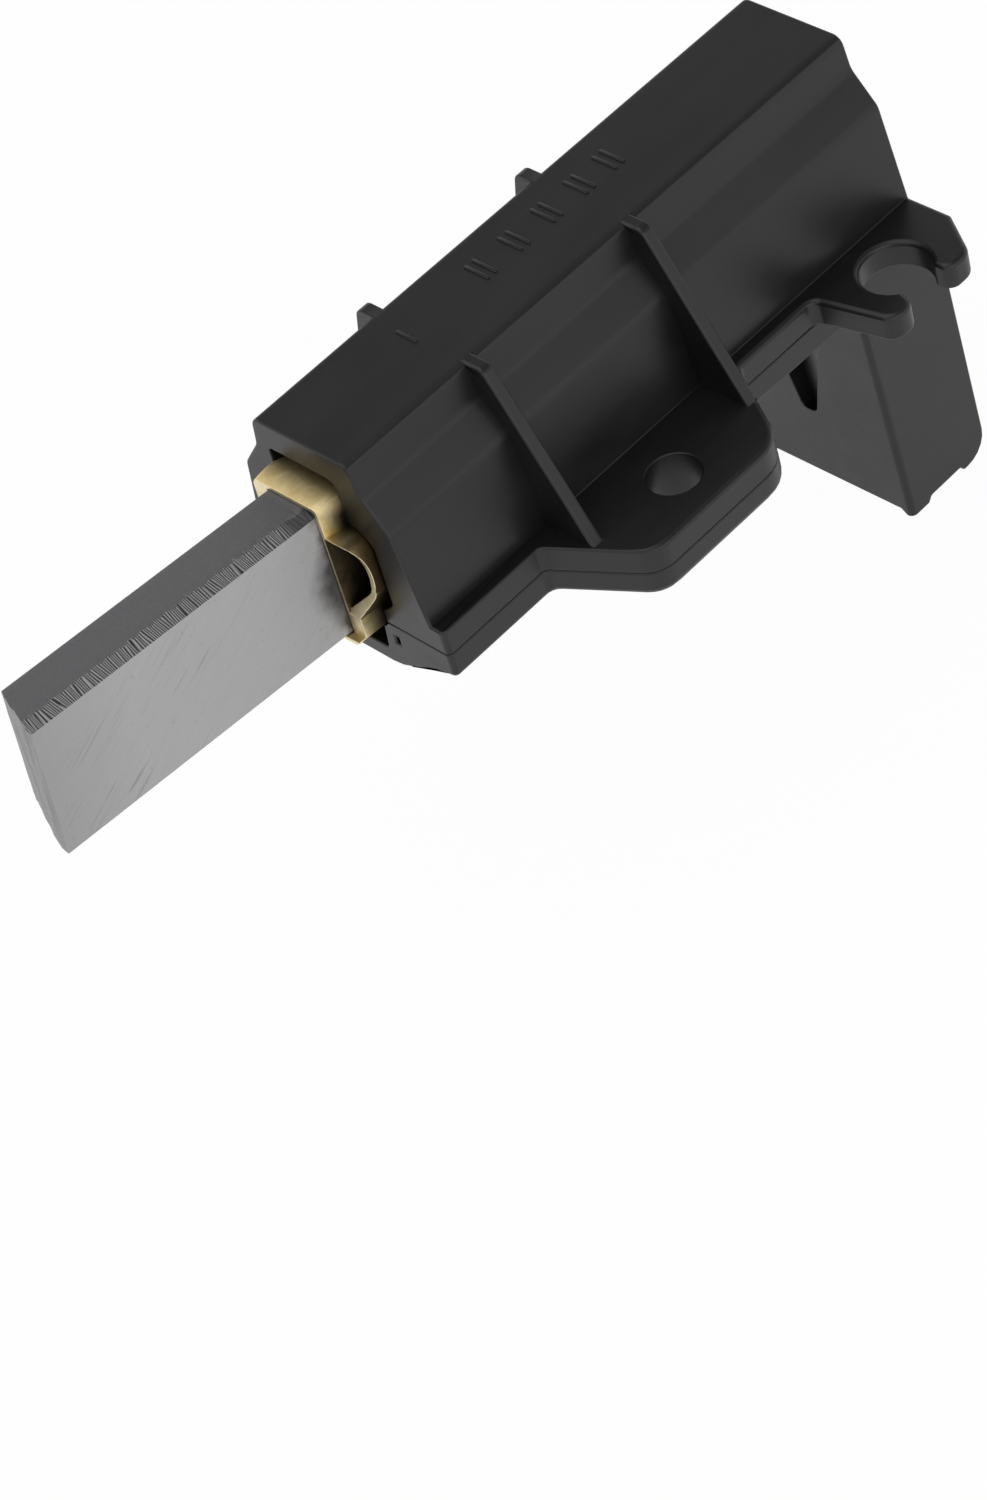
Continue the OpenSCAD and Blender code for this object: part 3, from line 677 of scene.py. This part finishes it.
def hug_mouth(shape):
    """Swells the strip's upper near corner just behind its rim, and sharpens the corner's fold.

    The rim itself stays in place, so the strip looks bent in towards the carbon there."""
    most, bend_length = 0.36, 1.6
    fold = Vector((0.0, -2.06, 5.81))
    cut_across(shape, list(shape.faces), Vector((1, 0, 0)),
               (bend_length, 0.8, 0.0, -0.45, -0.9, -1.3, -1.7))
    for vert in shape.verts:
        out = -(TO_HOLDER @ vert.co).x
        if out < -bend_length:
            continue
        at = TO_SLEEVE @ vert.co
        round_fold = at - fold
        round_fold.x = 0.0
        on_fold = round_fold.y < 0.01 and round_fold.z > -0.01 and 0.8 < round_fold.length < 1.0
        if on_fold:
            flatter = min(round_fold.length / max(-round_fold.y, round_fold.z), 1.2)
            at += round_fold * (flatter - 1.0)
        swell = most * (1 - (max(0.0, out) / MOUTH_OUT) ** 2) * min(1.0, 1.0 + out / bend_length)
        swell = max(0.0, swell)
        upper = limited(at.z - 4.9)
        nearer = limited((-at.y - 1.6) / 0.9) * limited((at.z - 3.2) / 0.8)
        vert.co = SLEEVE @ (at + Vector((0.0, -0.8 * swell * nearer, swell * upper)))


def roof_marks():
    """Plain raised bars on the roof, in the place and at the scale of the moulded marks."""
    bar_w, bar_rise, sunk, soft, sides = 0.34, 0.1, 0.08, 0.06, 20
    pair_gap, pair_y, pair_length = 0.85, 1.2, 2.7
    bars = [(12.6, 0.9, 2.3)]
    for x in (20.6, 24.3, 28.0, 31.7, 35.0):
        bars += [(x, pair_y, pair_length), (x + pair_gap, pair_y, pair_length)]
    profile = [(-sunk, 0.0), (bar_rise - soft, 0.0), (bar_rise - 0.3 * soft, 0.3 * soft),
               (bar_rise, soft)]
    parts = []
    for x, y, length in bars:
        half = length / 2 - bar_w / 2
        verts = []
        for z, inset in profile:
            r = bar_w / 2 - inset
            for k in range(sides):
                turn = 2 * math.pi * k / sides
                end = half if math.sin(turn) >= 0 else -half
                verts.append(Vector((x + r * math.cos(turn), y + end + r * math.sin(turn),
                                     ROOF_Z + z)))
        parts.append((verts, skin(len(profile), sides)))
    mesh = mesh_of("roof_marks", parts, HOLDER)
    shade(mesh, 40)
    new_piece("roof_marks", mesh, "holder", [BLACK])


# ------------------------------------------------------------------ carbon

def carbon_outline():
    """Outline of the carbon's section: y, z and how far round the scored edge, or None off it."""
    w, h, r = CARBON_HALF_W, CARBON_HALF_H, 0.16
    chamfer_y, chamfer_z = -w + 1.35, h - 0.45
    points = []

    def run(a, b, steps, band=False):
        for i in range(steps):
            t = i / steps
            points.append((a[0] + (b[0] - a[0]) * t, a[1] + (b[1] - a[1]) * t, t if band else None))

    def bend(cy, cz, start, steps=4):
        for i in range(steps):
            turn = math.radians(start + 90 * i / steps)
            points.append((cy + r * math.cos(turn), cz + r * math.sin(turn), None))

    bend(w - r, -h + r, -90)
    run((w, -h + r), (w, h - r), 12)
    bend(w - r, h - r, 0)
    run((w - r, h), (chamfer_y, h), 6)
    run((chamfer_y, h), (-w, chamfer_z), 12, band=True)
    run((-w, chamfer_z), (-w, -h + r), 16)
    bend(-w + r, -h + r, 180)
    run((-w + r, -h), (w - r, -h), 6)
    return points


def carbon_tip(y, z):
    """Place of the worn end for a point of the section: slanted, ridged, chipped at the corner."""
    w = CARBON_HALF_W
    chip_h, chip_w = 1.55, 2.0
    plan = [(w, 1.5), (w - 1.3, 1.0), (w - 1.9, 0.75), (w - 2.9, 0.55), (w - 3.7, 0.2), (-w, 0.0)]
    out = 0.0
    for (y0, x0), (y1, x1) in zip(plan, plan[1:]):
        if y1 <= y <= y0:
            out = x0 + (x1 - x0) * (y0 - y) / (y0 - y1)
    grooves = (0.05 * noise.noise(Vector((y * 5.0, z * 0.22, 3.1)))
               + 0.03 * noise.noise(Vector((y * 13.0, z * 0.5, 9.7))))
    chip = chip_h - (z + CARBON_HALF_H) if y > w - chip_w else 0.0
    broken = (max(0.0, chip) * 0.9 * min(1.0, (y - w + chip_w) / 1.4)
              + 0.06 * noise.noise(Vector((y, z, 0.0)) * 2.5))
    return CARBON_TIP + out + grooves + max(0.0, broken)


def edge_scores():
    """Random scores across the rubbed edge: place, slant, width, depth, start and end of each."""
    rng = random.Random(5)
    scores = []
    x = CARBON_TIP
    while x < CARBON_REAR:
        scores.append((x, rng.uniform(-0.5, 0.5), rng.uniform(0.07, 0.16), rng.uniform(0.3, 1.0),
                       rng.uniform(-0.05, 0.3), rng.uniform(0.75, 1.05)))
        x += rng.uniform(0.2, 0.5)
    return scores


def score_depth(x, band, scores):
    """Depth from 0 to 1 of the deepest score at a place of the rubbed edge."""
    deepest = 0.0
    if band is not None:
        for at, slant, width, depth, start, end in scores:
            if start < band < end:
                away = (x - at - slant * band) / width
                deepest = max(deepest, depth * math.exp(-away * away))
    return deepest


def carbon():
    """The carbon block: rubbed uneven along its top near edge, worn and chipped at the tip."""
    stations, end_rings = 420, 10
    score_reach, scores_at_once = 1.2, 16
    score_in, score_down = 0.02, 0.06
    outline, scores = carbon_outline(), edge_scores()
    count = len(outline)
    verts, faces = [], []
    first = 0
    for i in range(stations + 1):
        f = i / stations
        reached = CARBON_TIP + f * (CARBON_REAR - CARBON_TIP) - score_reach
        while first < len(scores) and scores[first][0] < reached:
            first += 1
        near_scores = scores[first:first + scores_at_once]
        for y, z, band in outline:
            tip = carbon_tip(y, z)
            x = tip + (CARBON_REAR - tip) * f
            depth = score_depth(x, band, near_scores)
            verts.append(Vector((x, y + score_in * depth, z - score_down * depth)))
    for i in range(stations):
        for k in range(count):
            a, b = i * count + k, i * count + (k + 1) % count
            faces.append((a, a + count, b + count, b))

    # The two ends: rings drawn in to the section's middle
    for i, facing in ((0, 1), (stations, -1)):
        ring = [i * count + k for k in range(count)]
        for j in range(1, end_rings + 1):
            shrink = 1 - j / end_rings
            inner = []
            for y, z, _ in outline:
                x = carbon_tip(y * shrink, z * shrink) if i == 0 else CARBON_REAR
                inner.append(len(verts))
                verts.append(Vector((x, y * shrink, z * shrink)))
            for k in range(count):
                quad = (ring[k], ring[(k + 1) % count], inner[(k + 1) % count], inner[k])
                faces.append(quad if facing > 0 else quad[::-1])
            ring = inner
    mesh = mesh_of("carbon_finish", [(verts, faces)], SLEEVE)
    shape = bmesh.new()
    shape.from_mesh(mesh)
    bmesh.ops.remove_doubles(shape, verts=shape.verts, dist=1e-7)
    bmesh.ops.recalc_face_normals(shape, faces=shape.faces)
    shape.to_mesh(mesh)
    shape.free()
    shade(mesh, 28)
    new_piece("carbon_finish", mesh, "brush", [CARBON], ("carbon_block",))


# --------------------------------------------------------- spring and lead

def spring():
    """The coil spring as a smooth round wire with closed end coils."""
    steps, dead, close, sides = 40, 1.2, 0.78, 12
    open_length = SPRING_END - SPRING_START - 2 * close * dead
    path = []
    for i in range(SPRING_TURNS * steps + 1):
        t = i / steps
        live = limited((t - dead) / (SPRING_TURNS - 2 * dead))
        x = (SPRING_START + close * min(t, dead) + open_length * live
             + close * max(0.0, t - SPRING_TURNS + dead))
        turn = 2 * math.pi * t
        path.append(Vector((x, SPRING_R * math.sin(turn), SPRING_Z + SPRING_R * math.cos(turn))))
    mesh = mesh_of("brush_spring_finish", [tube(path, WIRE_R, sides)], SLEEVE)
    shade(mesh, 50)
    piece = new_piece("brush_spring_finish", mesh, "holder", [STEEL],
                      ("brush_spring",))
    shorten(piece, SPRING_START, SPRING_END)


def lead_path(steps):
    """Centre line of the lead, through the same bends as in the source."""
    sleeve_end, lead_end = 46.0, 51.784
    # Share of the way from the carbon to the sleeve's end, then y and z in diameters of the lead
    bends = [(0.07, 0, 0), (0.21, 0.5, 0.2), (0.36, -0.55, -0.25), (0.51, 0.55, 0.12),
             (0.66, -0.55, -0.25), (0.8, 0.45, 0), (0.93, 0, 0.12), (1.025, 0, 1.2)]
    across = 2 * LEAD_R
    end = Vector((lead_end, -SLEEVE_AT.y, -0.6 * across))
    start = Vector((CARBON_REAR + 0.05, 0, JOINT_Z))
    stub = Vector((0.7 * across, 0, 0))
    points = [start + stub]
    for share, y, z in bends:
        points.append(Vector((CARBON_REAR + share * (sleeve_end - CARBON_REAR), y * across,
                              JOINT_Z + z * across)))
    points.append(end - stub)
    smooth = [start]
    for i in range(len(points) - 1):
        a, b = points[max(i - 1, 0)], points[i]
        c, d = points[i + 1], points[min(i + 2, len(points) - 1)]
        for j in range(steps):
            t = j / steps
            smooth.append(0.5 * (2 * b + (c - a) * t + (2 * a - 5 * b + 4 * c - d) * t * t
                                 + (3 * b - a - 3 * c + d) * t ** 3))
    return smooth + [points[-1], end]


def strand(frames, hand, k):
    """One of the braid's strands, wound one way or the other round the carried frames."""
    weave, gap, pitch, sides = 0.08, 0.09, 5.2, 6
    path = []
    for point, side, up, along in frames:
        turn = hand * 2 * math.pi * along / pitch + 2 * math.pi * k / STRANDS
        lift = LEAD_R - STRAND_R - gap + weave * hand * math.cos(STRANDS * turn)
        path.append(point + lift * (math.cos(turn) * side + math.sin(turn) * up))
    return tube(path, STRAND_R, sides)


def lead():
    """The braided copper lead: strands wound both ways, each passing over and under the others.

    It is split at its last bend in the sleeve."""
    steps, last_bend, core_sides = 14, 7, 10
    line = lead_path(steps)
    cut = 1 + last_bend * steps
    distance, frames = 0.0, []
    for i, (point, side, up) in enumerate(carried_frames(line)):
        if i:
            distance += (point - line[i - 1]).length
        frames.append((point, side, up, distance))
    for name, span in (("copper_lead_finish", slice(0, cut + 1)),
                       ("copper_lead_rear_finish", slice(cut, None))):
        parts = [strand(frames[span], hand, k) for hand in (1, -1) for k in range(STRANDS)]
        parts.append(tube(line[span], LEAD_R - 2.2 * STRAND_R, core_sides))
        mesh = mesh_of(name, parts, SLEEVE)
        shade(mesh, 60)
        piece = new_piece(name, mesh, "holder", [COPPER], ("copper_lead",))
        if span.start == 0:
            shorten(piece, line[0].x, line[cut].x)


# ------------------------------------------------------------------ pieces

blend_body(softened("upper_housing", "holder", [BLACK], housing_edges, 4,
                    dress=body_loops))
softened("lower_cover", "holder", [GREY], cover_edges, 4)
softened("guide_sleeve", "holder", [BRASS, BRASS_CUT, BRASS_SHADED_INSIDE], even(0.06),
         pick=sleeve_faces, dress=hug_mouth)
softened("blade_terminal", "holder", [BRASS_BLADE], even(0.08))
softened("tamped_joint", "brush", [COPPER_POWDER], even(0.1))
roof_marks()
carbon()
spring()
lead()


# ------------------------------------------------- floor, light and camera

def white_rays(tree, seen, mirrored):
    """A share for rays from the camera, and one for those from a reflection or something clear."""
    path = add(tree, "ShaderNodeLightPath")
    indirect = maths(tree, "MAXIMUM", path.outputs["Is Glossy Ray"],
                     path.outputs["Is Transmission Ray"])
    return maths(tree, "MAXIMUM", times(tree, path.outputs["Is Camera Ray"], seen),
                 times(tree, indirect, mirrored))


def stage_floor():
    """A plain white floor just under the hood, which keeps the object's soft shadow."""
    half, under = 0.8, 0.0003
    mesh = bpy.data.meshes.new("floor")
    z = cad_bounds[0].z - under
    corners = [(-half, -half, z), (half, -half, z), (half, half, z), (-half, half, z)]
    mesh.from_pydata(corners, [], [(0, 1, 2, 3)])
    floor = bpy.data.objects.new("floor", mesh)
    bpy.context.scene.collection.objects.link(floor)
    material, tree, shader = new_material("floor_white", (0.9, 0.9, 0.9), 0.8, specular=0.1)
    seen = white_rays(tree, 0.97, 0.6)
    glow = add(tree, "ShaderNodeEmission", {"Color": (1, 1, 1, 1), "Strength": 1.0})
    mix = add(tree, "ShaderNodeMixShader", {0: seen, 1: shader.outputs[0], 2: glow.outputs[0]})
    tree.links.new(mix.outputs[0], tree.nodes["Material Output"].inputs["Surface"])
    mesh.materials.append(material)


def stage_world():
    """A plain studio: white round the table, and less than a third as bright overhead."""
    low, high, bright, dim = 0.15, 0.62, 1.0, 0.3
    world = bpy.data.worlds.new("studio")
    bpy.context.scene.world = world
    world.use_nodes = True
    tree = world.node_tree
    background = tree.nodes["Background"]
    height = split(tree, add(tree, "ShaderNodeTexCoord").outputs["Generated"])[2]
    background.inputs["Color"].default_value = (1.0, 1.0, 1.0, 1.0)
    tree.links.new(spread(tree, height, low, high, bright, dim), background.inputs["Strength"])


def area_light(name, place, size, watts):
    """A soft rectangular lamp that points at the frame's origin."""
    light = bpy.data.lights.new(name, "AREA")
    light.shape = "RECTANGLE"
    light.size, light.size_y = size
    light.energy = watts
    lamp = bpy.data.objects.new(name, light)
    bpy.context.scene.collection.objects.link(lamp)
    lamp.location = place
    lamp.rotation_mode = "QUATERNION"
    lamp.rotation_quaternion = (-Vector(place)).to_track_quat("-Z", "Y")


def stage_camera():
    """The photograph's view, from the fit of the model's edges to it."""
    place = Vector((-0.142986, -0.182955, 0.219300))
    forward = Vector((0.38270912, 0.58436758, -0.71557547))
    roll = math.radians(-17.784)
    level = forward.cross(Vector((0, 0, 1))).normalized()
    upright = level.cross(forward)
    right = math.cos(roll) * level + math.sin(roll) * upright
    up = math.cos(roll) * upright - math.sin(roll) * level
    data = bpy.data.cameras.new("camera")
    data.sensor_fit = "VERTICAL"
    data.sensor_height = 36.0
    data.lens = 99.828
    data.clip_start, data.clip_end = 0.01, 10.0
    camera = bpy.data.objects.new("camera", data)
    bpy.context.scene.collection.objects.link(camera)
    turned = Matrix((right, up, -forward)).transposed().to_4x4()
    camera.matrix_world = Matrix.Translation(place) @ turned
    bpy.context.scene.camera = camera


stage_floor()
stage_world()
area_light("overhead_soft", (-0.24, 0.1, 0.6), (0.75, 0.9), 2.0)
area_light("near_soft", (-0.1, -0.6, 0.3), (0.8, 0.3), 0.8)
stage_camera()
bpy.context.scene.view_settings.view_transform = "Standard"

bpy.context.view_layer.update()
